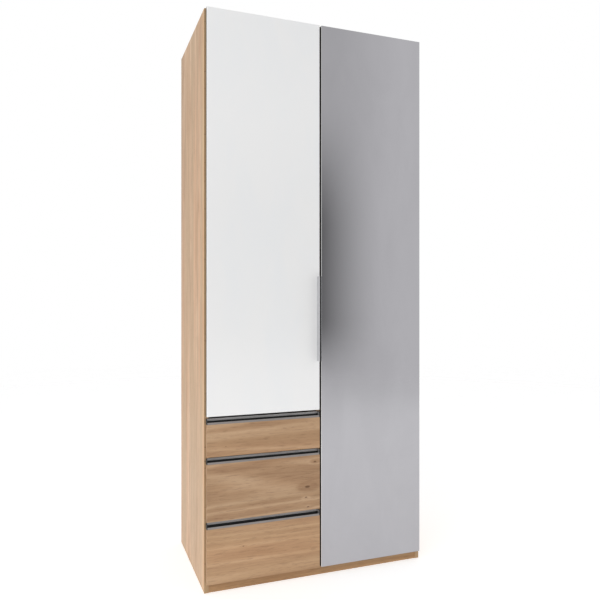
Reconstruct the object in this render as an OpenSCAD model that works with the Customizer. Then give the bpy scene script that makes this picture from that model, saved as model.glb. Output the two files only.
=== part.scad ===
// Two-door wardrobe with a short door over three drawers and a tall mirror door.
// +X is to the right, +Y is to the back, +Z is up. The origin is under the middle
// of the outline. Inside the modules x starts at the outer face of the left side,
// y at the front edges of the carcass and z at the floor.

/* [Overall] */
// Width over the two sides
wardrobe_w = 991; // [960:1:1040]
// Height from the floor
wardrobe_h = 2360; // [2300:10:2400]
// Depth of the carcass without its fronts
carcass_d = 558; // [540:2:600]

/* [Boards] */
// Thickness of the sides, the partition and the horizontal boards
board_t = 18; // [18:1:19]
// Thickness of the back panels
back_t = 4; // [3:1:5]
// Depth of the grooves that hold the back panels
groove_d = 8; // [6:1:9]
// Height of the plinth
plinth_h = 36; // [34:1:37]

/* [Fronts] */
// Thickness of a door board
door_board_t = 16; // [16:1:18]
// Thickness of the glass or mirror on a door
glass_t = 4; // [3:1:5]
// Gap between the fronts and the carcass
front_clear = 2; // [2:0.5:3]
// Width of side edge left bare beside a front
front_inset = 6; // [5.5:0.5:8]
// Gap between the two columns of fronts
meeting_gap = 7.5; // [4:0.5:7.5]
// How far the middle of that gap stands right of the wardrobe's middle
meeting_shift = 1.5; // [0:0.5:2]
// Carcass edge left bare above the doors
top_reveal = 1.5; // [0.5:0.5:3]
// Height of the underside of the lowest fronts
fronts_z = 41.5; // [38:0.5:42]

/* [Drawers] */
// Height of the lower drawer front, with its grip lip
drawer_lower_h = 230.5; // [228:0.5:236]
// Height of the middle drawer front, with its grip lip
drawer_middle_h = 239.5; // [236:0.5:244]
// Height of the upper drawer front, with its grip lip
drawer_upper_h = 139.5; // [136:0.5:144]
// Finger gap between two drawer fronts
finger_gap = 20.5; // [19:0.5:22]
// Finger gap between the upper drawer and the short door
door_gap = 23.5; // [20:0.5:24]
// Height of the grip rail's front lip
lip_h = 8.5; // [7.5:0.5:10]
// Height of the grip rail's rear wall
grip_wall_h = 22; // [18:0.5:23]

/* [Handle] */
// Height of the lower end of the handle on the short door
handle_z = 924; // [850:1:1000]
// Length of the handle
handle_len = 360; // [300:1:400]
// Width of the handle
handle_w = 7.5; // [6:0.5:10]
// How far the handle stands out from the door
handle_out = 33; // [20:1:36]
// Distance of the handle from the door's free edge
handle_inset = 5; // [4:0.5:10]

/* [Interior] */
// Height of the lower shelf behind the short door
shelf_lower_z = 1090; // [1040:2:1150]
// Height of the middle shelf behind the short door
shelf_middle_z = 1456; // [1420:2:1458]
// Height of the upper shelf behind the short door
shelf_upper_z = 1854; // [1800:2:1900]
// Height of the hat shelf behind the tall door
hat_shelf_z = 2016; // [1950:2:2050]
// Diameter of the clothes rail
rail_dia = 25; // [22:1:28]
// Distance of the first and last hinge from the ends of a door
hinge_end = 118; // [110:2:126]

/* [Hidden] */

$fn = 48;
small_fn = 24;
edge_fn = 32;
eps = 0.01;

oak = [0.76, 0.62, 0.48];
oak_light = [0.82, 0.70, 0.58];
white = [0.93, 0.93, 0.93];
mirror_grey = [0.62, 0.63, 0.65];
black = [0.15, 0.15, 0.15];
metal = [0.72, 0.73, 0.75];

// Main planes
front_t = door_board_t + glass_t;
back_recess = 14;
deck_lift = 1;
door_back_y = -front_clear;
door_face_y = -front_clear - front_t;
glass_back_y = door_face_y + glass_t;
mid_x = wardrobe_w / 2;
inner_left = board_t;
inner_right = wardrobe_w - board_t;
part_left = mid_x - board_t / 2;
part_right = mid_x + board_t / 2;
back_y = carcass_d - back_recess - back_t;
inner_bottom_z = plinth_h + board_t;
inner_top_z = wardrobe_h - board_t;
front_left_x = front_inset;
front_w = mid_x + meeting_shift - meeting_gap / 2 - front_inset;
door_right_w = front_w - 2 * meeting_shift;
door_top_z = wardrobe_h - top_reveal;

// Drawer heights, counted from the lowest drawer up
drawer_h = [drawer_lower_h, drawer_middle_h, drawer_upper_h];
function drawer_z(i) = i == 0 ? fronts_z : drawer_z(i - 1) + drawer_h[i - 1] + finger_gap;
door_left_z = drawer_z(2) + drawer_upper_h + door_gap;
deck_z = door_left_z + deck_lift;
door_left_h = door_top_z - door_left_z;
door_right_h = door_top_z - fronts_z;
shelf_heights = [shelf_lower_z, shelf_middle_z, shelf_upper_z];
hinge_heights_left = [
    door_left_z + hinge_end, (door_left_z + door_top_z) / 2, door_top_z - hinge_end
];
hinge_pitch_right = (door_right_h - 2 * hinge_end) / 3;
hinge_heights_right = [for (i = [0:3]) fronts_z + hinge_end + i * hinge_pitch_right];

// The wardrobe stands centred on the origin
outline_front_y = door_face_y - handle_out;
module placed()
    translate([-mid_x, -(outline_front_y + carcass_d) / 2, 0]) children();

// Floor glides lift the boards off the floor
glide_w = 16;
glide_l = 40;
glide_h = 1;
glide_inset = 1;
glide_front = 12;
glide_back = 60;

// Bolt holes of the wall brackets, one over each compartment
bracket_w = 40;
bracket_leg = 32;
bracket_t = 3;
bolt_dia = 6.5;
bolt_drop = 20;
bolt_z = inner_top_z - bolt_drop;
bolt_left_x = (inner_left + part_left) / 2;
bolt_right_x = (part_right + inner_right) / 2;
module bolt_hole(x, length)
    translate([x, back_y, bolt_z]) rotate([90, 0, 0])
        cylinder(d = bolt_dia, h = 2 * length, center = true);

// Left-hand geometry repeated on the right-hand side
module on_right()
    translate([wardrobe_w, 0, 0]) mirror([1, 0, 0]) children();

// ---- Carcass boards ----

pin_dia = 5;
pin_hole_d = 10;
pin_row_front = 50;
pin_row_back = 80;
pin_rows_y = [pin_row_front, carcass_d - pin_row_back];
pin_pitch = 32;
pin_steps = 2;

// Shelf pin holes drilled into a face that looks towards +X (1) or -X (-1)
module pin_holes(face_x, towards, heights)
    for (z0 = heights, step = [-pin_steps:pin_steps], y = pin_rows_y)
        translate([face_x, y, z0 - pin_dia / 2 + step * pin_pitch])
            rotate([0, towards * 90, 0]) translate([0, 0, -pin_hole_d])
                cylinder(d = pin_dia, h = pin_hole_d + eps, $fn = small_fn);

// A side panel with its back groove and pin holes, drawn for the left
module side_panel(heights)
    difference() {
        translate([0, 0, glide_h])
            cube([board_t, carcass_d, wardrobe_h - glide_h]);
        translate([board_t - groove_d, back_y, 0])
            cube([groove_d + eps, back_t, inner_top_z + groove_d]);
        pin_holes(board_t, 1, heights);
    }
module side_panel_left()
    placed() color(oak_light) side_panel(shelf_heights);
module side_panel_right()
    placed() color(oak_light) on_right() side_panel([hat_shelf_z]);

module centre_partition()
    placed() color(oak_light) difference() {
        translate([part_left, 0, inner_bottom_z])
            cube([board_t, back_y, inner_top_z - inner_bottom_z]);
        pin_holes(part_left, -1, shelf_heights);
        pin_holes(part_right, 1, [hat_shelf_z]);
    }

module top_panel()
    placed() color(oak_light) difference() {
        translate([inner_left, 0, inner_top_z])
            cube([inner_right - inner_left, carcass_d, board_t]);
        translate([inner_left - eps, back_y, inner_top_z - eps])
            cube([inner_right - inner_left + 2 * eps, back_t, groove_d + eps]);
    }

module bottom_panel()
    placed() color(oak_light) translate([inner_left, 0, plinth_h])
        cube([inner_right - inner_left, back_y, board_t]);

plinth_inset = 2;
plinth_t = 16;
plinth_rear_in = 60;
module plinth(y)
    translate([inner_left, y, glide_h])
        cube([inner_right - inner_left, plinth_t, plinth_h - glide_h]);
module plinth_front() placed() color(oak) plinth(plinth_inset);
module plinth_rear() placed() color(oak) plinth(back_y - plinth_rear_in);

module drawer_deck()
    placed() color(oak_light) translate([inner_left, 0, deck_z])
        cube([part_left - inner_left, back_y, board_t]);

back_gap = 2;
module back_panel(bolt_x)
    difference() {
        translate([inner_left - groove_d, back_y, plinth_h])
            cube([mid_x - back_gap - inner_left + groove_d, back_t,
                  inner_top_z + groove_d - plinth_h]);
        bolt_hole(bolt_x, back_t + 2 * eps);
    }
module back_panel_left() placed() color(white) back_panel(bolt_left_x);
module back_panel_right()
    placed() color(white) on_right() back_panel(wardrobe_w - bolt_right_x);

// Strip over the joint between the two back panels
strip_w = 40;
strip_t = 3;
module back_joint_strip()
    placed() color(white) translate([mid_x - strip_w / 2, back_y + back_t, plinth_h])
        cube([strip_w, strip_t, inner_top_z - plinth_h]);

// ---- Interior ----

shelf_side_gap = 1;
shelf_front_y = 8;
shelf_back_gap = 2;
module shelf(x0, x1, z)
    translate([x0 + shelf_side_gap, shelf_front_y, z])
        cube([x1 - x0 - 2 * shelf_side_gap, back_y - shelf_back_gap - shelf_front_y, board_t]);
module shelf_lower() placed() color(oak_light) shelf(inner_left, part_left, shelf_heights[0]);
module shelf_middle() placed() color(oak_light) shelf(inner_left, part_left, shelf_heights[1]);
module shelf_upper() placed() color(oak_light) shelf(inner_left, part_left, shelf_heights[2]);
module hat_shelf() placed() color(oak_light) shelf(part_right, inner_right, hat_shelf_z);

// Shelf pins: plain shanks that lie in the holes and carry the shelf
pin_out = 8;
pin_in = 6;
module shelf_pin(face_x, y, z, towards)
    translate([face_x, y, z - pin_dia / 2]) rotate([0, towards * 90, 0])
        translate([0, 0, -pin_in])
            cylinder(d = pin_dia, h = pin_in + pin_out, $fn = small_fn);
module pins_between(x0, x1, z)
    for (y = pin_rows_y) {
        shelf_pin(x0, y, z, 1);
        shelf_pin(x1, y, z, -1);
    }
module shelf_pins()
    placed() color(metal) {
        for (z = shelf_heights) pins_between(inner_left, part_left, z);
        pins_between(part_right, inner_right, hat_shelf_z);
    }

// Clothes rail under the hat shelf
rail_y = carcass_d / 2;
rail_drop = 70;
rail_z = hat_shelf_z - rail_drop;
rail_tube_t = 1.5;
socket_t = 12;
socket_wall = 3;
socket_base = 2;
module clothes_rail()
    placed() color(metal) translate([part_right + socket_base, rail_y, rail_z])
        rotate([0, 90, 0]) difference() {
            cylinder(d = rail_dia, h = inner_right - part_right - 2 * socket_base);
            translate([0, 0, -eps])
                cylinder(d = rail_dia - 2 * rail_tube_t, h = inner_right - part_right);
        }
module rail_socket()
    difference() {
        cylinder(d = rail_dia + 2 * socket_wall, h = socket_t);
        translate([0, 0, socket_base]) cylinder(d = rail_dia, h = socket_t);
        translate([-rail_dia, -rail_dia / 2, socket_base])
            cube([rail_dia, rail_dia, socket_t]);
    }
module rail_sockets()
    placed() color(metal) {
        translate([part_right, rail_y, rail_z]) rotate([0, 90, 0]) rail_socket();
        translate([inner_right, rail_y, rail_z]) mirror([1, 0, 0])
            rotate([0, 90, 0]) rail_socket();
    }

// ---- Small carcass fittings ----

// Glides under the sides
module floor_glides()
    placed() color(black)
        for (x = [glide_inset, wardrobe_w - glide_w - glide_inset],
             y = [glide_front, carcass_d - glide_back])
            translate([x, y, 0]) cube([glide_w, glide_l, glide_h]);

// Cam locks on the inner faces near the ends of the fixed boards
cam_dia = 15;
cam_h = 1.5;
cam_in = 34;
cam_front = 70;
cam_back = 120;
module cam_locks()
    placed() color(metal)
        for (y = [cam_front, carcass_d - cam_back]) {
            for (x = [inner_left + cam_in, inner_right - cam_in,
                      part_left - cam_in, part_right + cam_in]) {
                translate([x, y, inner_top_z - cam_h]) cylinder(d = cam_dia, h = cam_h);
                translate([x, y, inner_bottom_z]) cylinder(d = cam_dia, h = cam_h);
            }
            for (x = [inner_left + cam_in, part_left - cam_in])
                translate([x, y, deck_z + board_t]) cylinder(d = cam_dia, h = cam_h);
        }

// Angle brackets inside the top corners; a bolt through each ties the back to a wall
module wall_bracket(x)
    difference() {
        translate([x - bracket_w / 2, back_y - bracket_leg, inner_top_z - bracket_leg])
            difference() {
                cube([bracket_w, bracket_leg, bracket_leg]);
                translate([-eps, -eps, -eps])
                    cube([bracket_w + 2 * eps, bracket_leg - bracket_t + eps,
                          bracket_leg - bracket_t + eps]);
            }
        bolt_hole(x, bracket_t + 2 * eps);
    }
module wall_brackets()
    placed() color(metal) {
        wall_bracket(bolt_left_x);
        wall_bracket(bolt_right_x);
    }

// Screws through the joint strip into the partition
screw_end = 60;
screw_pitch = 250;
screw_dia = 8;
screw_tip_dia = 5;
screw_h = 2;
module back_screws()
    placed() color(metal)
        for (z = [plinth_h + screw_end : screw_pitch : inner_top_z - screw_end])
            translate([mid_x, back_y + back_t + strip_t, z]) rotate([-90, 0, 0])
                cylinder(d1 = screw_dia, d2 = screw_tip_dia, h = screw_h);

// ---- Doors ----

edge_r = 2;

// A cup hinge is drawn for the left side at height z. The link turns on a pin at
// link_x, link_y in the fixed arm, and its free end lies in the cup.
cup_dia = 35;
cup_wall = 1.2;
cup_d = 12;
cup_in = 22.5;
cup_x = front_left_x + cup_in;
wing_w = 14;
wing_h = 62;
wing_t = 1.2;
wing_in = 18.5;
link_in = 19;
link_x = front_left_x + link_in;
link_y = 0;
link_t = 2;
link_h = 11;
link_pin_dia = 3;
arm_gap = 0.3;
arm_cheek_t = 1.5;
arm_w = 8;
arm_h = link_h + 2 * (arm_gap + arm_cheek_t);
arm_front_y = 8;
arm_back_y = 46;
cheek_l = 9;
plate_front_y = 10;
plate_l = 40;
plate_h = 36;
plate_t = 2;

module cup_hollow(d, z, depth)
    translate([cup_x, door_back_y + eps, z]) rotate([90, 0, 0])
        cylinder(d = d, h = depth + eps);

// A door board with its cup holes, drawn for the left
module door_board(z0, height, width, hinges)
    difference() {
        translate([front_left_x, glass_back_y, z0])
            cube([width, door_board_t, height]);
        for (z = hinges) cup_hollow(cup_dia, z, cup_d);
    }

// Glass or mirror glued over the whole door board, with rounded front arrises
module door_glass(z0, height, width)
    translate([front_left_x, 0, z0]) linear_extrude(height)
        polygon([
            [0, glass_back_y], [width, glass_back_y],
            [width, door_face_y + edge_r], [width - edge_r, door_face_y],
            [edge_r, door_face_y], [0, door_face_y + edge_r]
        ]);

// Upright blade near the free edge, rounded along its front
bar_r = 1.5;
module door_handle()
    translate([front_left_x + front_w - handle_inset - handle_w, 0, handle_z])
        linear_extrude(handle_len) union() {
            translate([0, outline_front_y + bar_r])
                square([handle_w, handle_out - bar_r]);
            translate([bar_r, outline_front_y]) square([handle_w - 2 * bar_r, bar_r]);
            for (x = [bar_r, handle_w - bar_r])
                translate([x, outline_front_y + bar_r]) circle(r = bar_r, $fn = edge_fn);
        }

// Cup and screw wings let into the door
module hinge_cup(z)
    difference() {
        union() {
            translate([cup_x, door_back_y, z]) rotate([90, 0, 0])
                cylinder(d = cup_dia, h = cup_d);
            translate([front_left_x + wing_in, door_back_y, z - wing_h / 2])
                cube([wing_w, wing_t, wing_h]);
        }
        translate([0, wing_t, 0])
            cup_hollow(cup_dia - 2 * cup_wall, z, cup_d - cup_wall + wing_t);
    }

// Mounting plate and arm on the carcass; the arm's two cheeks hold the link's pin
module hinge_arm(z)
    difference() {
        union() {
            translate([inner_left, plate_front_y, z - plate_h / 2])
                cube([plate_t, plate_l, plate_h]);
            translate([inner_left + plate_t, arm_front_y, z - arm_h / 2])
                cube([link_x + arm_w / 2 - inner_left - plate_t,
                      arm_back_y - arm_front_y, arm_h]);
            for (side = [-1, 1])
                translate([0, 0, z + side * (link_h / 2 + arm_gap + arm_cheek_t / 2)])
                    linear_extrude(arm_cheek_t, center = true) union() {
                        translate([link_x, link_y]) circle(d = arm_w);
                        translate([link_x - arm_w / 2, link_y]) square([arm_w, cheek_l]);
                    }
        }
        translate([link_x, link_y, z])
            cylinder(d = link_pin_dia, h = 2 * link_h, center = true);
    }

// The link is cranked, so that it clears the rim of the cup when the door is open.
// It is set out for the open door and turned back to the closed one.
link_swing = 119.3;
link_bore_dia = 3.1;
link_route = [[0, 0], [-12.5, -10.4], [-17, -10.4]];
module hinge_link(z)
    translate([link_x, link_y, z]) rotate([0, 0, link_swing])
        difference() {
            linear_extrude(link_h, center = true) union() {
                circle(d = link_pin_dia + 2 * link_t);
                for (i = [1, 2]) {
                    from = link_route[i - 1];
                    run = link_route[i] - from;
                    translate(from) rotate(atan2(run.y, run.x))
                        translate([0, -link_t / 2]) square([norm(run), link_t]);
                    translate(link_route[i]) circle(d = link_t);
                }
            }
            cylinder(d = link_bore_dia, h = 2 * link_h, center = true);
        }
module hinge_pin(z)
    translate([link_x, link_y, z])
        cylinder(d = link_pin_dia, h = arm_h, center = true);

module door_left_board()
    placed() color(white) door_board(door_left_z, door_left_h, front_w, hinge_heights_left);
module door_left_glass()
    placed() color(white) door_glass(door_left_z, door_left_h, front_w);
module door_left_handle()
    placed() color(metal) door_handle();
module hinge_cups_left()
    placed() color(metal) for (z = hinge_heights_left) hinge_cup(z);
module hinge_arms_left()
    placed() color(metal) for (z = hinge_heights_left) {
        hinge_arm(z);
        hinge_pin(z);
    }
module hinge_links_left()
    placed() color(metal) for (z = hinge_heights_left) hinge_link(z);

module door_right_board()
    placed() color(white) on_right()
        door_board(fronts_z, door_right_h, door_right_w, hinge_heights_right);
module door_right_mirror()
    placed() color(mirror_grey) on_right() door_glass(fronts_z, door_right_h, door_right_w);
module hinge_cups_right()
    placed() color(metal) on_right() for (z = hinge_heights_right) hinge_cup(z);
module hinge_arms_right()
    placed() color(metal) on_right() for (z = hinge_heights_right) {
        hinge_arm(z);
        hinge_pin(z);
    }
module hinge_links_right()
    placed() color(metal) on_right() for (z = hinge_heights_right) hinge_link(z);

// Magnetic catches on the partition and their strike plates on the doors
catch_w = 13;
catch_l = 34;
catch_h = 46;
catch_nose_w = 10;
catch_nose_h = 36;
catch_nose_l = 6;
catch_heights_left = [980, 2080];
catch_heights_right = [420, 1300, 2180];
strike_t = 1;
strike_w = 14;
strike_h = 48;
catch_gap = 0.3;
catch_y = door_back_y + strike_t + catch_gap;
module door_catch(z)
    translate([part_left - catch_w / 2, catch_y, z]) union() {
        translate([-catch_nose_w / 2, 0, -catch_nose_h / 2])
            cube([catch_nose_w, catch_nose_l, catch_nose_h]);
        translate([-catch_w / 2, catch_nose_l, -catch_h / 2])
            cube([catch_w, catch_l - catch_nose_l, catch_h]);
    }
module strike(z)
    translate([part_left - catch_w / 2 - strike_w / 2, door_back_y, z - strike_h / 2])
        cube([strike_w, strike_t, strike_h]);
module door_catches()
    placed() color(white) {
        for (z = catch_heights_left) door_catch(z);
        on_right() for (z = catch_heights_right) door_catch(z);
    }
module strike_left() placed() color(metal) for (z = catch_heights_left) strike(z);
module strike_right()
    placed() color(metal) on_right() for (z = catch_heights_right) strike(z);

// ---- Drawers ----

box_side_gap = 13;
box_t = 12;
box_l = 500;
box_base_t = 4;
box_base_up = 10;
box_lift = 16;
box_top_gap = 14;
box_x0 = inner_left + box_side_gap;
box_x1 = part_left - box_side_gap;
base_groove = 5;
runner_above = 60;
rail_wall = 1.5;
grip_d = front_t;
cap_t = 2.5;
cap_r = 4;

function front_top_z(i) = drawer_z(i) + drawer_h[i] - lip_h;
function box_z(i) = drawer_z(i) + box_lift;
function box_h(i) = front_top_z(i) - box_top_gap - box_z(i);

module drawer_front(i)
    placed() color(oak) translate([front_left_x, door_face_y, drawer_z(i)])
        cube([front_w, front_t, front_top_z(i) - drawer_z(i)]);

// Channel along the top of the front: a low lip ahead, a high wall behind
module grip_rail(i)
    placed() color(metal)
        translate([front_left_x + cap_t, door_face_y, front_top_z(i)])
            rotate([90, 0, 90]) linear_extrude(front_w - 2 * cap_t)
                polygon([
                    [0, 0], [grip_d, 0], [grip_d, grip_wall_h],
                    [grip_d - rail_wall, grip_wall_h], [grip_d - rail_wall, rail_wall],
                    [rail_wall, rail_wall], [rail_wall, lip_h], [0, lip_h]
                ]);

// End plates that close the channel
module grip_caps(i)
    placed() color(metal)
        for (x = [front_left_x, front_left_x + front_w - cap_t])
            translate([x, door_face_y, front_top_z(i)]) rotate([90, 0, 90])
                linear_extrude(cap_t) union() {
                    square([grip_d, grip_wall_h - cap_r]);
                    translate([cap_r, 0]) square([grip_d - cap_r, grip_wall_h]);
                    translate([cap_r, grip_wall_h - cap_r]) circle(r = cap_r, $fn = edge_fn);
                }

// Two sides and a back, grooved for the base
module drawer_box(i)
    placed() color(white) difference() {
        union() {
            for (x = [box_x0, box_x1 - box_t])
                translate([x, door_back_y, box_z(i)]) cube([box_t, box_l, box_h(i)]);
            translate([box_x0 + box_t, door_back_y + box_l - box_t, box_z(i)])
                cube([box_x1 - box_x0 - 2 * box_t, box_t, box_h(i)]);
        }
        base_slab(i, eps);
    }
module base_slab(i, grow)
    translate([box_x0 + box_t - base_groove - grow, door_back_y - grow,
               box_z(i) + box_base_up])
        cube([box_x1 - box_x0 - 2 * (box_t - base_groove - grow),
              box_l - box_t + base_groove + 2 * grow, box_base_t]);
module drawer_base(i) placed() color(white) base_slab(i, 0);

// Telescopic runners: a fixed rail on the carcass, a middle rail and an inner rail.
// Each is a channel with its web on the stated side.
runner_y = 6;
runner_l = 480;
runner_web = 1.2;
outer_h = 45;
middle_h = 42;
inner_h = 39;
outer_w = 8;
middle_w = 8.5;
inner_w = 9.5;
runner_gap = 0.4;
function runner_z(i) = box_z(i) + min(box_h(i) / 2, runner_above);
module channel(x, height, depth, towards)
    translate([x, runner_y, 0]) difference() {
        translate([towards > 0 ? 0 : -depth, 0, -height / 2])
            cube([depth, runner_l, height]);
        translate([towards > 0 ? runner_web : -depth - eps, -eps,
                   -height / 2 + runner_web])
            cube([depth - runner_web + eps, runner_l + 2 * eps, height - 2 * runner_web]);
    }
// Both runners of a drawer, drawn from the left side's inner face
module runner_pair(i) {
    translate([inner_left, 0, runner_z(i)]) children();
    translate([part_left, 0, runner_z(i)]) mirror([1, 0, 0]) children();
}
module runner_middles(i)
    placed() color(metal) runner_pair(i)
        channel(runner_web + runner_gap, middle_h, middle_w, 1);
module drawer_runners(i)
    placed() color(metal) runner_pair(i) channel(box_side_gap, inner_h, inner_w, -1);
module runner_rails()
    placed() color(metal) for (i = [0:2]) runner_pair(i) channel(0, outer_h, outer_w, 1);

module drawer_lower_front() drawer_front(0);
module drawer_lower_grip() grip_rail(0);
module drawer_lower_caps() grip_caps(0);
module drawer_lower_box() drawer_box(0);
module drawer_lower_base() drawer_base(0);
module drawer_lower_runners() drawer_runners(0);
module runner_middles_lower() runner_middles(0);

module drawer_middle_front() drawer_front(1);
module drawer_middle_grip() grip_rail(1);
module drawer_middle_caps() grip_caps(1);
module drawer_middle_box() drawer_box(1);
module drawer_middle_base() drawer_base(1);
module drawer_middle_runners() drawer_runners(1);
module runner_middles_middle() runner_middles(1);

module drawer_upper_front() drawer_front(2);
module drawer_upper_grip() grip_rail(2);
module drawer_upper_caps() grip_caps(2);
module drawer_upper_box() drawer_box(2);
module drawer_upper_base() drawer_base(2);
module drawer_upper_runners() drawer_runners(2);
module runner_middles_upper() runner_middles(2);

side_panel_left();
side_panel_right();
centre_partition();
top_panel();
bottom_panel();
plinth_front();
plinth_rear();
drawer_deck();
back_panel_left();
back_panel_right();
back_joint_strip();
shelf_lower();
shelf_middle();
shelf_upper();
hat_shelf();
shelf_pins();
clothes_rail();
rail_sockets();
floor_glides();
cam_locks();
wall_brackets();
back_screws();
runner_rails();
door_catches();
hinge_arms_left();
hinge_arms_right();
hinge_links_left();
hinge_links_right();
door_left_board();
door_left_glass();
door_left_handle();
strike_left();
hinge_cups_left();
door_right_board();
door_right_mirror();
strike_right();
hinge_cups_right();
drawer_lower_front();
drawer_lower_grip();
drawer_lower_caps();
drawer_lower_box();
drawer_lower_base();
drawer_lower_runners();
runner_middles_lower();
drawer_middle_front();
drawer_middle_grip();
drawer_middle_caps();
drawer_middle_box();
drawer_middle_base();
drawer_middle_runners();
runner_middles_middle();
drawer_upper_front();
drawer_upper_grip();
drawer_upper_caps();
drawer_upper_box();
drawer_upper_base();
drawer_upper_runners();
runner_middles_upper();
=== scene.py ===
# A tall two-door wardrobe: short white gloss door over three oak drawers on the left, full-height
# mirror door on the right. Lengths are metres, angles degrees.
import math

import bmesh
import bpy
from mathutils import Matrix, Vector


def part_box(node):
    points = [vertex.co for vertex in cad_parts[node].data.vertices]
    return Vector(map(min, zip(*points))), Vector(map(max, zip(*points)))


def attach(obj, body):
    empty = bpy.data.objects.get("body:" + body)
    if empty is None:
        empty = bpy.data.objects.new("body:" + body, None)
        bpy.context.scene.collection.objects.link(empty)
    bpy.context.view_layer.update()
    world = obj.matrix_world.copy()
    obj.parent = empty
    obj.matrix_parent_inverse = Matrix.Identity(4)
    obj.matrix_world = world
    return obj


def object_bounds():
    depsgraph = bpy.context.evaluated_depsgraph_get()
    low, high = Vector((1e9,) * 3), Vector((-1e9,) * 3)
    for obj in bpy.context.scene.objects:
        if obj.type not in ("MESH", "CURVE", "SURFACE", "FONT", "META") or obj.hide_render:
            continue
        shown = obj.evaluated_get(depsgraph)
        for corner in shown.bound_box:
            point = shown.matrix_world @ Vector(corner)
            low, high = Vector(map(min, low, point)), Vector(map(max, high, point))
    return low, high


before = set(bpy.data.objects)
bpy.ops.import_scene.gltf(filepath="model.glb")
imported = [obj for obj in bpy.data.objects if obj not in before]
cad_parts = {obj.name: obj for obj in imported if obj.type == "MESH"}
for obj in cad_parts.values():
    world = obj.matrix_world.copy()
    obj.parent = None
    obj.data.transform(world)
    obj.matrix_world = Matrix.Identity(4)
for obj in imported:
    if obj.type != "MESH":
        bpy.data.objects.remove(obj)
cad_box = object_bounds()

# ---- Node graph helpers -------------------------------------------------------------------


class Nodes:
    """Short calls that add nodes to one tree, which starts empty."""

    def __init__(self, tree):
        self.tree = tree
        tree.nodes.clear()

    def add(self, kind, **settings):
        node = self.tree.nodes.new(f"ShaderNode{kind}")
        for name, value in settings.items():
            setattr(node, name, value)
        return node

    def put(self, socket, value):
        """Links value to socket if it is an output, or else sets it there."""
        if isinstance(value, bpy.types.NodeSocket):
            self.tree.links.new(value, socket)
        else:
            socket.default_value = value

    def math(self, operation, *values):
        node = self.add("Math", operation=operation)
        for socket, value in zip(node.inputs, values):
            self.put(socket, value)
        return node.outputs[0]

    def split(self, vector):
        node = self.add("SeparateXYZ")
        self.put(node.inputs[0], vector)
        return node.outputs

    def band(self, value, low, high, start=0.0, end=1.0):
        """start below low, end above high, a smooth step between."""
        node = self.add("MapRange", interpolation_type="SMOOTHSTEP")
        self.put(node.inputs["Value"], value)
        for name, number in (("From Min", low), ("From Max", high), ("To Min", start), ("To Max", end)):
            node.inputs[name].default_value = number
        return node.outputs[0]

    def between(self, share, a, b):
        """The number that lies a share of the way from a to b."""
        node = self.add("Mix", data_type="FLOAT")
        for socket, value in zip((node.inputs[0], node.inputs[2], node.inputs[3]), (share, a, b)):
            self.put(socket, value)
        return node.outputs[0]


class Graph(Nodes):
    """A material's node tree with one Principled shader and short calls for common textures."""

    def __init__(self, name):
        self.material = bpy.data.materials.new(name)
        self.material.use_nodes = True
        super().__init__(self.material.node_tree)
        self.shader = self.add("BsdfPrincipled")
        self.put(self.add("OutputMaterial").inputs[0], self.shader.outputs[0])
        coord = self.add("TexCoord")
        self.point = coord.outputs["Object"]
        self.normal = coord.outputs["Normal"]

    def set(self, **values):
        """Sets or links the shader's inputs; an underscore stands for a blank."""
        for name, value in values.items():
            self.put(self.shader.inputs[name.replace("_", " ")], value)
        return self

    def stretch(self, vector, scale, shift=(0, 0, 0)):
        node = self.add("Mapping")
        self.put(node.inputs["Vector"], vector)
        node.inputs["Scale"].default_value = scale
        node.inputs["Location"].default_value = shift
        return node.outputs[0]

    def noise(self, vector, scale, detail=2.0, rough=0.5, warp=0.0):
        node = self.add("TexNoise")
        self.put(node.inputs["Vector"], vector)
        node.inputs["Scale"].default_value = scale
        node.inputs["Detail"].default_value = detail
        node.inputs["Roughness"].default_value = rough
        node.inputs["Distortion"].default_value = warp
        return node.outputs[0]

    def ramp(self, value, stops):
        node = self.add("ValToRGB")
        elements = node.color_ramp.elements
        while len(elements) < len(stops):
            elements.new(0.5)
        for element, (place, colour) in zip(elements, stops):
            element.position = place
            element.color = (*colour, 1)
        self.put(node.inputs[0], value)
        return node.outputs[0]

    def mix(self, share, a, b, blend="MIX"):
        """The colour that lies a share of the way from a to b."""
        node = self.add("Mix", data_type="RGBA", blend_type=blend)
        self.put(node.inputs[0], share)
        self.put(node.inputs[6], a if isinstance(a, bpy.types.NodeSocket) else (*a, 1))
        self.put(node.inputs[7], b if isinstance(b, bpy.types.NodeSocket) else (*b, 1))
        return node.outputs[2]

    def grey(self, value):
        """A number as a colour."""
        node = self.add("CombineColor")
        for socket in node.inputs[:3]:
            self.put(socket, value)
        return node.outputs[0]

    def bump(self, height, distance, strength=1.0):
        node = self.add("Bump")
        self.put(node.inputs["Height"], height)
        node.inputs["Distance"].default_value = distance
        node.inputs["Strength"].default_value = strength
        self.put(self.shader.inputs["Normal"], node.outputs[0])
        return self


def srgb(red, green, blue):
    """A display colour of 0 to 255 as linear light."""
    return tuple(((c / 255 + 0.055) / 1.055) ** 2.4 if c > 10 else c / 3295 for c in (red, green, blue))


def times(values, shares):
    """Values multiplied by one share, or each by its own."""
    if isinstance(shares, (int, float)):
        shares = (shares,) * len(values)
    return tuple(value * share for value, share in zip(values, shares))


# ---- Materials ----------------------------------------------------------------------------

# Mapping scales along the grain; a small one draws a pattern out
GRAIN, FLECK, CLOUD, PATCH, KNOT = 0.042, 0.10, 0.16, 0.35, 0.45


def along(axis, share):
    """A scale of share along one axis and of 1 across it."""
    return tuple(share if name == axis else 1.0 for name in "xyz")


def front_mask(g):
    """1 on what faces the front."""
    return g.band(g.math("MULTIPLY", g.split(g.normal)[1], -1.0), 0.35, 0.75)


def edge_mask(g):
    """1 on the narrow edges of a front, 0 on its broad faces."""
    level = g.math("ABSOLUTE", g.split(g.normal)[1])
    return g.band(level, 0.55, 0.9, 1.0, 0.0)


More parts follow.
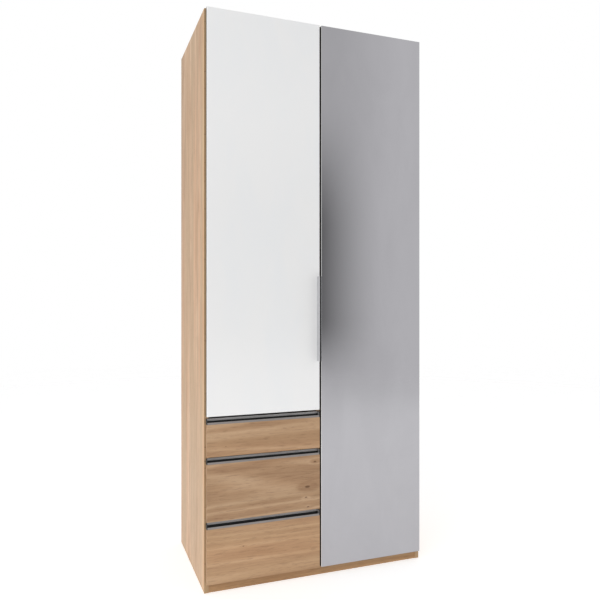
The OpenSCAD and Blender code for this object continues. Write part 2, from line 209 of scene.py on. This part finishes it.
def arris_mask(g):
    """1 on the rounded rim between a front's face and its edges."""
    level = g.math("ABSOLUTE", g.split(g.normal)[1])
    return g.math("MULTIPLY", g.band(level, 0.10, 0.30), g.band(level, 0.93, 0.985, 1.0, 0.0))


def knot_masks(g, axis, spots):
    """How near a knot is, for the rings that bend round it, and 1 on the knots' own cores."""
    near = core = 0.0
    for centre, radius in spots:
        node = g.add("VectorMath", operation="DISTANCE")
        g.put(node.inputs[0], g.stretch(g.point, along(axis, KNOT)))
        g.put(node.inputs[1], times(centre, along(axis, KNOT)))
        away = node.outputs["Value"]
        near = g.math("MAXIMUM", near, g.band(away, radius * 0.3, radius * 4.5, 1.0, 0.0))
        core = g.math("MAXIMUM", core, g.band(away, radius * 0.45, radius, 1.0, 0.0))
    return near, core


def rear_painted_shade(g, colour, rear, shade):
    """Painted shade: darkens the upper part of an upright board towards its rear edge."""
    part = g.split(g.point)
    share = g.band(part[1], rear - 0.12, rear, 0.0, 0.30)
    high = g.band(part[2], 0.4, 1.25)
    return g.mix(g.math("MULTIPLY", share, high), colour, shade)


def front_band(g, colour, axis, edge, seed, cloud, fibre):
    """A golden strip on the faces near the front, and the edge band ahead of y = edge."""
    depth = g.split(g.point)[1]
    ahead = g.band(depth, edge + 0.02, edge + 0.06, 1.0, 0.0)
    golden = g.mix(g.band(cloud, 0.42, 0.60), srgb(221, 174, 128), srgb(226, 190, 142))
    colour = g.mix(g.math("MULTIPLY", ahead, 0.75), colour, golden)
    # The edge band's colour is its own tone, darkened partly as painted shade; the ticks are its grain
    band_and_shade = g.mix(g.math("MULTIPLY", fibre, 0.5), srgb(163, 131, 96), srgb(183, 155, 120))
    level = g.stretch(g.point, tuple(1.0 if name == axis else 0.0 for name in "xyz"), (seed,) * 3)
    ticks = g.band(g.noise(level, 70.0, 2.0, 0.6), 0.60, 0.66)
    band_and_shade = g.mix(g.math("MULTIPLY", ticks, 0.7), band_and_shade, srgb(104, 78, 54))
    front = g.band(depth, edge, edge + 0.0006, 1.0, 0.0)
    return g.mix(g.math("MULTIPLY", front, 0.85), colour, band_and_shade)


def oak(name, axis, tones, seed, figure=1.0, spots=(), band_edge=None, drift=0.30, clouds=0.44, rear=None):
    """Oak foil: flat-sawn figure, fibre streaks, flecks, open pores and a slow drift of colour.

    axis is the grain's direction, tones run from dark to light, and spots are small knots as
    (centre, radius). band_edge is the y ahead of which the edge band's colour shows, drift is how
    much the colour wanders in wide streaks, clouds how strong the soft patches are, and rear is the
    y towards which painted shade darkens the board's upper part.
    """
    g = Graph(name)
    dark, middle, light = tones
    near, core = knot_masks(g, axis, spots)
    drawn = g.stretch(g.point, along(axis, GRAIN), times((1.7, 0.9, 2.3), seed))
    wander = g.noise(drawn, 5.5, 2.0, 0.45, 0.25)
    if spots:
        wander = g.math("ADD", wander, g.math("MULTIPLY", near, 0.034))
    rings = g.math("MULTIPLY_ADD", g.math("SINE", g.math("MULTIPLY", wander, 95.0)), 0.5, 0.5)
    early = g.math("POWER", rings, 2.2)
    fibre = g.noise(drawn, 230.0, 3.0, 0.62)
    streak = g.noise(drawn, 38.0, 3.0, 0.6, 0.4)
    patches = g.noise(g.stretch(g.point, along(axis, PATCH)), 3.1, 2.0)
    soft = g.stretch(g.point, along(axis, CLOUD), times((1.0, 1.3, 0.6), seed))
    cloud = g.noise(soft, 16.0, 3.0, 0.55, 0.8)
    # The tone gathers figure, streaks, fibre and patches, and runs through the ramp.
    tone = g.math("MULTIPLY", early, 0.30 * figure)
    tone = g.math("ADD", tone, g.math("MULTIPLY", streak, 0.40))
    tone = g.math("ADD", tone, g.math("MULTIPLY", fibre, 0.30))
    tone = g.math("ADD", tone, g.math("MULTIPLY_ADD", cloud, clouds, 0.22 - clouds / 2))
    tone = g.math("ADD", tone, g.math("MULTIPLY", patches, 0.08))
    colour = g.ramp(tone, [(0.40, dark), (0.68, middle), (0.98, light)])
    warm = g.band(g.noise(drawn, 9.0, 2.0, 0.5), 0.42, 0.68, 0.0, drift)
    colour = g.mix(warm, colour, times(middle, (1.08, 0.98, 0.90)))
    cool = g.noise(g.stretch(drawn, (1, 1, 1), (9, 5, 2)), 13.0, 1.0, 0.4)
    colour = g.mix(g.band(cool, 0.40, 0.66, 0.0, drift * 1.3), colour, times(middle, (0.86, 0.88, 0.84)))
    pores = g.band(g.noise(g.stretch(drawn, (1, 1, 1), (3, 1, 4)), 620.0, 2.0, 0.5), 0.60, 0.70)
    colour = g.mix(g.math("MULTIPLY", pores, 0.34), colour, times(dark, 0.52))
    flecks = g.noise(g.stretch(g.point, along(axis, FLECK), (seed,) * 3), 150.0, 2.0, 0.55, 0.3)
    colour = g.mix(g.math("MULTIPLY", g.band(flecks, 0.56, 0.68), 0.30), colour, times(dark, 0.70))
    if spots:
        colour = g.mix(g.math("MULTIPLY", core, 0.75), colour, srgb(88, 54, 27))
    # Painted shade towards the rear of the upper part of upright boards
    if rear is not None:
        colour = rear_painted_shade(g, colour, rear, times(middle, 0.55))
    if band_edge is not None:
        colour = front_band(g, colour, axis, band_edge, seed, cloud, fibre)
    rough = g.math("MULTIPLY_ADD", streak, 0.16, 0.42)
    height = g.math("SUBTRACT", g.math("MULTIPLY", fibre, 0.5), pores)
    g.set(Base_Color=colour, Roughness=rough, Specular_IOR_Level=0.42)
    return g.bump(height, 0.00022, 0.55).material


def foil_face(g, tint, seed, rough):
    """Matt white board: faint printed fibre, a fine orange-peel and slightly handled patches.

    Sets the roughness and the bump, and returns the colour and the patches.
    """
    patches = g.noise(g.stretch(g.point, (1, 1, 1), (seed, 0, seed)), 4.0, 3.0)
    weave = g.noise(g.stretch(g.point, (1, 1, 0.05)), 420.0, 2.0)
    colour = g.mix(g.math("MULTIPLY", patches, 0.35), tint, times(tint, 0.90))
    colour = g.mix(g.math("MULTIPLY", weave, 0.12), colour, times(tint, 0.82))
    g.set(Roughness=g.math("MULTIPLY_ADD", patches, 0.18, rough))
    g.bump(g.noise(g.point, 900.0, 2.0), 0.0001, 0.4)
    return colour, patches


def white_foil(name, tint, seed):
    """Matt white board, the same on faces and edges."""
    g = Graph(name)
    colour, _ = foil_face(g, tint, seed, 0.40)
    return g.set(Base_Color=colour).material


def edged_board(name, tint, edge, seed):
    """Matt white board whose narrow edges carry a dark band."""
    g = Graph(name)
    face, patches = foil_face(g, tint, seed, 0.42)
    rim = g.mix(patches, edge, times(edge, 1.25))
    return g.set(Base_Color=g.mix(edge_mask(g), face, rim), Specular_IOR_Level=0.3).material


def gloss_white(name):
    """Back-painted glass: clean white, polished, with grey-green edges, a painted rim highlight and faint
    wipe marks.
    """
    g = Graph(name)
    wipes = g.noise(g.stretch(g.point, (1.0, 1.0, 0.35)), 7.0, 4.0, 0.55, 0.6)
    face = g.mix(g.band(wipes, 0.35, 0.7), srgb(245, 245, 245), srgb(243, 244, 245))
    colour = g.mix(edge_mask(g), face, srgb(150, 160, 157))
    # Painted highlight: the rounded rim of the glass is coloured pure white
    colour = g.mix(arris_mask(g), colour, (1.0, 1.0, 1.0))
    rough = g.math("MULTIPLY_ADD", wipes, 0.05, 0.045)
    g.set(Base_Color=colour, Roughness=rough, Coat_Weight=0.5, Coat_Roughness=0.03, IOR=1.5)
    return g.bump(g.noise(g.point, 2.2, 1.0), 0.0012, 0.05).material


def silvered(name):
    """Tinted mirror glass: smooth, faintly hazed, with paler ground edges."""
    g = Graph(name)
    haze = g.noise(g.stretch(g.point, (1.0, 1.0, 0.4)), 6.0, 4.0, 0.6, 0.5)
    face = g.mix(g.band(haze, 0.3, 0.75), srgb(180, 179, 183), srgb(176, 175, 179))
    colour = g.mix(edge_mask(g), face, srgb(222, 224, 221))
    rough = g.math("MULTIPLY_ADD", haze, 0.02, 0.012)
    rough = g.math("ADD", rough, g.math("MULTIPLY", edge_mask(g), 0.25))
    return g.set(Base_Color=colour, Metallic=1.0, Roughness=rough).material


def metal_marks(g, axis):
    """Fine lines along one axis, and smudges."""
    lines = g.noise(g.stretch(g.point, along(axis, GRAIN)), 1500.0, 2.0)
    return lines, g.noise(g.point, 45.0, 3.0, 0.6)


def bright_metal(name, tint, rough_low, rough_high, axis, brushed=0.3):
    """Plated or brushed metal: fine lines along one axis, smudges, and a soft wear of the gloss."""
    g = Graph(name)
    lines, smudge = metal_marks(g, axis)
    colour = g.mix(g.band(smudge, 0.4, 0.7, 0.0, 0.5), tint, times(tint, 0.84))
    rough = g.band(smudge, 0.3, 0.75, rough_low, rough_high)
    g.set(Base_Color=colour, Metallic=1.0, Roughness=rough)
    return g.bump(lines, 0.00006, brushed).material


def blade_metal(name, tint, front):
    """Polished plate whose front edge is coloured dark as painted shade."""
    g = Graph(name)
    lines, smudge = metal_marks(g, "z")
    colour = g.mix(g.band(smudge, 0.4, 0.7, 0.0, 0.4), tint, times(tint, 0.88))
    # Painted shade: the faces that look to the front take the dark front colour
    colour = g.mix(front_mask(g), colour, front)
    g.set(Base_Color=colour, Metallic=1.0, Roughness=g.band(smudge, 0.3, 0.75, 0.06, 0.16))
    return g.bump(lines, 0.00006, 0.15).material


def satin_alloy(name, lip, wall, lip_y, wall_y):
    """Drawn aluminium with a satin coat: fine lines along x, faint handling marks, painted light on a paler
    wall.
    """
    g = Graph(name)
    # Painted light and shade: lip and wall of one rail take two tones, the wall paler, the lip darker
    tint = g.mix(g.band(g.split(g.point)[1], lip_y, wall_y), lip, wall)
    lines = g.noise(g.stretch(g.point, along("x", GRAIN)), 1500.0, 2.0)
    marks = g.noise(g.stretch(g.point, (0.25, 1, 1)), 60.0, 3.0, 0.6)
    shade = g.grey(g.band(marks, 0.4, 0.7, 1.0, 0.92))
    colour = g.mix(1.0, tint, shade, "MULTIPLY")
    g.set(Base_Color=colour, Metallic=0.35, Roughness=g.band(marks, 0.3, 0.75, 0.42, 0.56))
    return g.bump(lines, 0.00004, 0.25).material


def moulded(name, tint, rough=0.5, front=None, dark_x=None):
    """Moulded plastic with a fine spark-eroded texture; front is a painted shade colour for faces ahead and
    left of dark_x.
    """
    g = Graph(name)
    speck = g.noise(g.point, 1400.0, 2.0)
    colour = g.mix(g.math("MULTIPLY", g.noise(g.point, 60.0, 3.0), 0.5), tint, times(tint, 0.78))
    # Painted shade: faces ahead and left of dark_x take the front colour
    if front is not None:
        left = g.math("LESS_THAN", g.split(g.point)[0], dark_x)
        colour = g.mix(g.math("MAXIMUM", front_mask(g), left), colour, front)
    g.set(Base_Color=colour, Roughness=g.math("MULTIPLY_ADD", speck, 0.14, rough - 0.07))
    return g.bump(speck, 0.00012, 0.35).material


# ---- Mesh helpers -------------------------------------------------------------------------


def piece(name, mesh, material, body):
    """Makes an object of a bmesh, gives it its material and sets it on a CAD body."""
    data = bpy.data.meshes.new(name)
    mesh.normal_update()
    mesh.to_mesh(data)
    mesh.free()
    data.materials.append(material)
    obj = bpy.data.objects.new(name, data)
    bpy.context.scene.collection.objects.link(obj)
    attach(obj, body)


def soften(obj, width):
    """Rounds an object's sharp edges a little."""
    modifier = obj.modifiers.new("soft_edges", "BEVEL")
    modifier.width = width
    modifier.segments = 2
    modifier.limit_method = "ANGLE"
    modifier.angle_limit = math.radians(50)
    modifier.harden_normals = True


def add_disc(mesh, centre, axis, radius, height, top=1.0):
    """Adds a short cylinder whose base is at centre; its top is top times as wide."""
    axis = Vector(axis)
    turn = axis.to_track_quat("Z", "Y").to_matrix()
    made = bmesh.ops.create_cone(
        mesh, cap_ends=True, segments=28, radius1=radius, radius2=radius * top, depth=height
    )
    for vert in made["verts"]:
        vert.co = turn @ (vert.co + Vector((0, 0, height / 2))) + Vector(centre)


def add_profile(mesh, outline, low, high):
    """Adds a prism along X whose cross-section is a list of (y, z)."""
    ends = [[mesh.verts.new((x, y, z)) for y, z in outline] for x in (low, high)]
    mesh.faces.new(ends[0][::-1])
    mesh.faces.new(ends[1])
    for k in range(len(outline)):
        nxt = (k + 1) % len(outline)
        mesh.faces.new((ends[0][k], ends[0][nxt], ends[1][nxt], ends[1][k]))
    bmesh.ops.recalc_face_normals(mesh, faces=mesh.faces)


# ---- Frame dimensions ---------------------------------------------------------------------

UP, DOWN, BACK = Vector((0, 0, 1)), Vector((0, 0, -1)), Vector((0, 1, 0))
DRAWERS = ("lower", "middle", "upper")
# Which way is inwards along X from each side of the wardrobe
INWARDS = {"left": 1, "right": -1}

box = {name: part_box(name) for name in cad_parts}
carcass_left = box["side_panel_left"][0].x
carcass_front = box["side_panel_left"][0].y
carcass_rear = box["side_panel_left"][1].y
inside = {"left": box["side_panel_left"][1].x, "right": box["side_panel_right"][0].x}
grip_front = box["drawer_upper_grip"][0].y
caps_low, caps_high = box["drawer_upper_caps"]

# ---- Finishes on the CAD nodes ------------------------------------------------------------

# Oak tones from dark to light
OAK_SIDE = (srgb(188, 146, 110), srgb(218, 181, 146), srgb(234, 202, 171))
OAK_FRONT = (srgb(143, 106, 75), srgb(176, 141, 107), srgb(194, 161, 128))
OAK_PLINTH = (srgb(143, 105, 68), srgb(176, 137, 96), srgb(192, 154, 114))

BAND = 0.0015  # how far the edge band's colour reaches behind the front of an upright or a shelf

side_wood = oak("oak_upright", "z", OAK_SIDE, 1.0, 0.45, band_edge=carcass_front + BAND, drift=0.66,
                clouds=1.45, rear=carcass_rear)
shelf_wood = oak("oak_shelves", "x", OAK_SIDE, 4.0, 0.5, band_edge=box["shelf_lower"][0].y + BAND)
plinth_wood = oak("oak_plinth", "x", OAK_PLINTH, 7.0, 0.8)


def front_knots(node, places):
    """Knots on a drawer front: each place is (share of width, share of height, radius)."""
    low, high = box[node]
    return [
        (Vector((low.x + (high.x - low.x) * u, low.y, low.z + (high.z - low.z) * v)), radius)
        for u, v, radius in places
    ]


# Where each drawer front has its small knots and pin marks
KNOTS = {
    "lower": [(0.31, 0.62, 0.0022)],
    "middle": [(0.885, 0.43, 0.0066), (0.955, 0.88, 0.0040), (0.872, 0.24, 0.0034), (0.890, 0.06, 0.0036)],
    "upper": [(0.16, 0.30, 0.0018)],
}
# How light each front is, partly its own tone and partly painted light, most on the lower front;
# and how strong its figure
FRONT_TONE_AND_LIGHT = {"lower": 1.18, "middle": 0.97, "upper": 1.05}
FRONT_FIGURE = {"lower": 0.60, "middle": 1.05, "upper": 0.90}


def front_oak(name, seed):
    """The oak of one drawer front, in its own figure and a lightness that is partly painted light."""
    tones = [times(tone, FRONT_TONE_AND_LIGHT[name]) for tone in OAK_FRONT]
    knots = front_knots(f"drawer_{name}_front", KNOTS[name])
    return oak(f"oak_front_{name}", "x", tones, seed, FRONT_FIGURE[name], knots)


front_wood = {name: front_oak(name, 11.0 + 3.0 * k) for k, name in enumerate(DRAWERS)}
white_door = gloss_white("white_glass")
mirror = silvered("mirror_silver")
# The right door's board edges are near black as painted shade; the left door's show the band's own colour
door_foil = {side: edged_board(f"door_foil_{side}", srgb(226, 226, 224), edge, 2.0)
             for side, edge in (("left", srgb(122, 116, 106)), ("right", srgb(40, 38, 37)))}
drawer_foil = white_foil("drawer_foil", srgb(222, 220, 216), 5.0)
back_foil = white_foil("back_foil", srgb(214, 212, 208), 9.0)
# The handle's dark front colour is painted shade
chrome = blade_metal("handle_plate", srgb(218, 218, 221), srgb(40, 40, 42))
# The grip rail's darker lip and paler wall are painted light and shade
grip_alloy = satin_alloy("grip_alloy", srgb(143, 137, 134), srgb(172, 170, 170),
                         grip_front + 0.004, grip_front + 0.012)
steel = bright_metal("plated_steel", srgb(196, 197, 200), 0.22, 0.42, "y", 0.3)
rail_chrome = bright_metal("rail_chrome", srgb(214, 214, 218), 0.08, 0.2, "x", 0.2)
# The caps' front faces and the left cap are near black as painted shade
cap_grey = moulded("cap_grey", srgb(142, 140, 140), 0.47, srgb(20, 20, 21), (caps_low.x + caps_high.x) / 2)
catch_white = moulded("catch_white", srgb(206, 205, 202), 0.5)
# Black plastic for the glides; the screw slots and cam crosses take it as painted shade of recesses
black = moulded("black_plastic", srgb(26, 26, 27), 0.6)
# Near-black lining set in the grip channels as painted shade
painted_shade_liner = moulded("painted_shade_liner", srgb(18, 18, 18), 0.7)

FINISH = {
    "side_panel_left": side_wood, "side_panel_right": side_wood, "centre_partition": side_wood,
    "top_panel": shelf_wood, "bottom_panel": shelf_wood, "drawer_deck": shelf_wood,
    "shelf_lower": shelf_wood, "shelf_middle": shelf_wood, "shelf_upper": shelf_wood,
    "hat_shelf": shelf_wood, "plinth_front": plinth_wood, "plinth_rear": plinth_wood,
    "back_panel_left": back_foil, "back_panel_right": back_foil, "back_joint_strip": back_foil,
    "door_left_board": door_foil["left"], "door_right_board": door_foil["right"],
    "door_left_glass": white_door, "door_right_mirror": mirror,
    "door_left_handle": chrome,
    "clothes_rail": rail_chrome, "floor_glides": black, "door_catches": catch_white,
}
for name in DRAWERS:
    FINISH[f"drawer_{name}_front"] = front_wood[name]
    FINISH[f"drawer_{name}_grip"] = grip_alloy
    FINISH[f"drawer_{name}_caps"] = cap_grey
    FINISH[f"drawer_{name}_box"] = drawer_foil
    FINISH[f"drawer_{name}_base"] = drawer_foil

# Width of the rounding on the edges of each part
SOFT_EDGES = {
    0.0005: ["bottom_panel", "drawer_deck", "shelf_lower", "shelf_middle", "shelf_upper", "hat_shelf",
             "plinth_front", "plinth_rear", "top_panel"],
    0.0007: [f"drawer_{name}_front" for name in DRAWERS],
    0.0003: [f"drawer_{name}_grip" for name in DRAWERS] + ["back_joint_strip"],
}

for name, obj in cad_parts.items():
    obj.data.materials.clear()
    obj.data.materials.append(FINISH.get(name, steel))
for width, names in SOFT_EDGES.items():
    for name in names:
        soften(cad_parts[name], width)

# ---- Grip liners: painted shade, a black lining in each grip rail's channel ----------------

WALL = 0.0015  # wall of the grip rail
LINER = 0.0012  # wall of the lining
SLOPE = 0.002  # how far the inner face of each wall leans inwards at its foot
FLOOR = 0.001  # how much thicker the lining's floor is than its walls
LIP = 0.005  # height of the lining's front wall
LINER_TOP = 0.0130  # top of the lining's rear wall above the rail's underside

for name in DRAWERS:
    low, high = box[f"drawer_{name}_grip"]
    y0, y1 = low.y + WALL, high.y - WALL
    z0, z1 = low.z + WALL, low.z + LINER_TOP
    z_floor = z0 + LINER + FLOOR
    mesh = bmesh.new()
    outline = [(y0, z0), (y1, z0), (y1, z1), (y1 - LINER, z1), (y1 - LINER - SLOPE, z_floor),
               (y0 + LINER + SLOPE, z_floor), (y0 + LINER, z0 + LIP), (y0, z0 + LIP)]
    add_profile(mesh, outline, low.x, high.x)
    piece(f"grip_shade_liner_{name}", mesh, painted_shade_liner, f"drawer_{name}")

# ---- Screws, cam crosses and door buffers --------------------------------------------------

HINGE_COUNT = {"left": 3, "right": 4}
HINGE_END = 0.118  # first hinge above the door's lower edge, and last below its upper edge


def hinge_heights(side):
    """Heights of a door's hinges, spaced evenly between its first and last."""
    low, high = box[f"door_{side}_board"]
    count = HINGE_COUNT[side] - 1
    first, last = low.z + HINGE_END, high.z - HINGE_END
    return [first + (last - first) * k / count for k in range(count + 1)]


HEAD = 0.0031  # radius of a screw head


def add_screw(heads, slots, centre, axis, height=0.0014):
    """Adds a domed head to one mesh and the cross of its recess to another."""
    centre, axis = Vector(centre), Vector(axis)
    add_disc(heads, centre, axis, HEAD, height * 0.6)
    add_disc(heads, centre + axis * height * 0.6, axis, HEAD, height * 0.4, top=0.72)
    add_cross(slots, centre + axis * height, axis, HEAD * 0.95)


def add_cross(mesh, centre, axis, length, width=0.0011, height=0.0002):
    """Adds a flat cross standing a little proud of a face."""
    across = axis.orthogonal().normalized()
    for one, other in ((across, axis.cross(across)), (axis.cross(across), across)):
        end, side = one * length / 2, other * width / 2
        corners = (end + side, end - side, -end - side, side - end)
        rings = [
            [mesh.verts.new(centre + corner + axis * lift) for corner in corners] for lift in (0, height)
        ]
        mesh.faces.new(rings[0])
        mesh.faces.new(rings[1])
        for k in range(4):
            mesh.faces.new((rings[0][k], rings[0][k - 1], rings[1][k - 1], rings[1][k]))
    bmesh.ops.recalc_face_normals(mesh, faces=mesh.faces)


# Screws of the hinge plates and arms; distances along Y are from the carcass's front edge
PLATE = 0.002  # thickness of a plate
PLATE_Y = 0.037
PLATE_SPREAD = 0.0125  # of each screw above and below the hinge's middle
ARM_SCREWS_Y = (0.018, 0.034)

carcass_heads, carcass_slots = bmesh.new(), bmesh.new()
for side, sign in INWARDS.items():
    arm = box[f"hinge_arms_{side}"]
    arm_face = arm[1].x if sign > 0 else arm[0].x
    plate_face = inside[side] + sign * PLATE
    for z in hinge_heights(side):
        for step in (-PLATE_SPREAD, PLATE_SPREAD):
            place = (plate_face, carcass_front + PLATE_Y, z + step)
            add_screw(carcass_heads, carcass_slots, place, (sign, 0, 0))
        for y in ARM_SCREWS_Y:
            add_screw(carcass_heads, carcass_slots, (arm_face, carcass_front + y, z), (sign, 0, 0))

# Crosses in the cam locks: length and width of a stroke, and how far they are from the uprights
# and from the carcass's front and rear
CAM_CROSS = (0.0075, 0.0014)
CAM_IN, CAM_FRONT, CAM_BACK = 0.034, 0.070, 0.120
CAM_TOP = 0.0015  # how far a cam lock stands out from its board
part_low, part_high = box["centre_partition"]
levels = [(part_high.z - CAM_TOP, DOWN, True), (part_low.z + CAM_TOP, UP, True),
          (box["drawer_deck"][1].z + CAM_TOP, UP, False)]
for y in (carcass_front + CAM_FRONT, carcass_rear - CAM_BACK):
    for z, axis, both in levels:
        places = [inside["left"] + CAM_IN, part_low.x - CAM_IN]
        if both:
            places += [part_high.x + CAM_IN, inside["right"] - CAM_IN]
        for x in places:
            add_cross(carcass_slots, Vector((x, y, z)), axis, *CAM_CROSS)
piece("carcass_screw_heads", carcass_heads, steel, "carcass")
# The slots and cam crosses are black as painted shade of their recesses
piece("carcass_screw_slots", carcass_slots, black, "carcass")

# Screws of the hinge cups' wings, on the backs of the doors
WING = 0.0012  # thickness of a wing
WING_X = 0.0255  # from the door's outer edge
WING_SPREAD = 0.024  # of each screw above and below the hinge's middle
WING_HEAD = 0.001  # height of the screw heads
# Screws of the handle, on the back of its door
HANDLE_END = 0.030  # from each end of the handle
HANDLE_HEAD = 0.0012
# Soft buffers, on the backs of the doors
BUFFER_IN = 0.030  # from the door's free edge
BUFFER_RADIUS, BUFFER_HEIGHT = 0.004, 0.0016


def mid_height(node):
    """Height of a node's middle."""
    return (box[node][0].z + box[node][1].z) / 2


for side, sign in INWARDS.items():
    low, high = box[f"door_{side}_board"]
    outer, free = (low.x, high.x) if sign > 0 else (high.x, low.x)
    heads, slots, buffers = bmesh.new(), bmesh.new(), bmesh.new()
    for z in hinge_heights(side):
        for step in (-WING_SPREAD, WING_SPREAD):
            place = (outer + sign * WING_X, high.y + WING, z + step)
            add_screw(heads, slots, place, BACK, WING_HEAD)
    if side == "left":
        grip_low, grip_high = box["door_left_handle"]
        for z in (grip_low.z + HANDLE_END, grip_high.z - HANDLE_END):
            add_screw(heads, slots, ((grip_low.x + grip_high.x) / 2, high.y, z), BACK, HANDLE_HEAD)
    ledge = "drawer_deck" if side == "left" else "bottom_panel"
    for z in (mid_height(ledge), mid_height("top_panel")):
        place = (free - sign * BUFFER_IN, high.y, z)
        add_disc(buffers, place, BACK, BUFFER_RADIUS, BUFFER_HEIGHT, top=0.8)
    piece(f"door_{side}_screw_heads", heads, steel, f"door_{side}")
    # The slots are black as painted shade of the screws' recesses
    piece(f"door_{side}_screw_slots", slots, black, f"door_{side}")
    piece(f"door_{side}_buffers", buffers, catch_white, f"door_{side}")

# ---- Stage --------------------------------------------------------------------------------

FLOOR_FADE = (2.4, 9.0)  # where the floor starts to fade, and where it ends


def floor():
    """A pale floor that fades into the white surround with distance."""
    mesh = bmesh.new()
    bmesh.ops.create_circle(mesh, cap_ends=True, segments=96, radius=FLOOR_FADE[1])
    data = bpy.data.meshes.new("floor")
    mesh.to_mesh(data)
    mesh.free()
    obj = bpy.data.objects.new("floor", data)
    bpy.context.scene.collection.objects.link(obj)
    g = Graph("pale_floor")
    length = g.add("VectorMath", operation="LENGTH")
    g.put(length.inputs[0], g.point)
    alpha = g.band(length.outputs["Value"], *FLOOR_FADE, 1.0, 0.0)
    g.set(Base_Color=(0.78, 0.78, 0.78, 1), Roughness=0.7, Specular_IOR_Level=0.15, Alpha=alpha,
          Emission_Color=(1, 1, 1, 1), Emission_Strength=0.58)
    data.materials.append(g.material)


def soft_box(name, place, target, size, power):
    """A large square light at place, turned to target."""
    light = bpy.data.lights.new(name, "AREA")
    light.shape = "SQUARE"
    light.size = size
    light.energy = power
    obj = bpy.data.objects.new(name, light)
    obj.location = place
    obj.rotation_euler = (Vector(target) - Vector(place)).to_track_quat("-Z", "Y").to_euler()
    bpy.context.scene.collection.objects.link(obj)
    obj.visible_glossy = False
    obj.visible_camera = False


floor()
middle = (cad_box[0] + cad_box[1]) / 2
soft_box("key", (-3.4, -3.2, 3.4), middle, 3.0, 56)
soft_box("fill", (3.6, -3.0, 2.6), middle, 3.0, 20)
soft_box("low", (-2.4, -0.9, 0.15), (-0.5, 0, 0.15), 1.0, 5.0)

# How bright the surround is to matt surfaces, and to gloss on its left and right
SKY = 0.50
SHINE = (0.775, 0.945)
SHINE_HEADING = (22.5, 30.5)
# The dim region: how much dimmer it is, and the headings and heights where it starts and ends
DIM_DEPTH = 0.54
DIM_START = (-5.0, 15.0)
DIM_HEADING = (22.3, 28.0)
DIM_BELOW = (-8.0, -1.5)
DIM_ABOVE = (6.0, 19.0)


def surround():
    """White to the camera; softly graded, with one dim region, to what shines."""
    world = bpy.data.worlds.new("surround")
    bpy.context.scene.world = world
    world.use_nodes = True
    n = Nodes(world.node_tree)
    part = n.split(n.add("TexCoord").outputs["Generated"])
    heading = n.math("ARCTAN2", part[0], n.math("MULTIPLY", part[1], -1.0))
    height = n.math("ARCSINE", part[2])
    near, far = map(math.radians, DIM_HEADING)
    fade = n.math("DIVIDE", n.math("SUBTRACT", far, heading), far - near)
    across = n.math("POWER", n.math("MINIMUM", n.math("MAXIMUM", fade, 0.0), 1.0), 1.5)
    across = n.math("MULTIPLY", across, n.band(heading, *map(math.radians, DIM_START)))
    below = n.band(height, *map(math.radians, DIM_BELOW))
    above = n.band(height, *map(math.radians, DIM_ABOVE), 1.0, 0.0)
    dim = n.math("MULTIPLY", n.math("MULTIPLY", across, below), above)
    side = n.band(heading, *map(math.radians, SHINE_HEADING), *SHINE)
    shine = n.math("SUBTRACT", side, n.math("MULTIPLY", dim, DIM_DEPTH))
    ray = n.add("LightPath").outputs
    plain = n.between(ray["Is Camera Ray"], SKY, 1.0)
    back = n.add("Background")
    n.put(back.inputs["Color"], (1, 1, 1, 1))
    n.put(back.inputs["Strength"], n.between(ray["Is Glossy Ray"], plain, shine))
    n.put(n.add("OutputWorld").inputs[0], back.outputs[0])


surround()

# ---- Camera -------------------------------------------------------------------------------

# The eye stands left of and ahead of the carcass's left front corner, and above the floor
EYE_LEFT, EYE_AHEAD, EYE_HEIGHT = 0.4911, 2.4315, 1.184
TURN = -20.365  # about the vertical, from looking straight at the front
LENS = 36.51  # millimetres, on a 36 mm sensor

camera = bpy.data.objects.new("camera", bpy.data.cameras.new("camera"))
bpy.context.scene.collection.objects.link(camera)
camera.data.sensor_width = 36.0
camera.data.lens = LENS
camera.location = (carcass_left - EYE_LEFT, carcass_front - EYE_AHEAD, EYE_HEIGHT)
camera.rotation_euler = (math.radians(90), 0, math.radians(TURN))
bpy.context.scene.camera = camera
bpy.context.scene.view_settings.view_transform = "Standard"
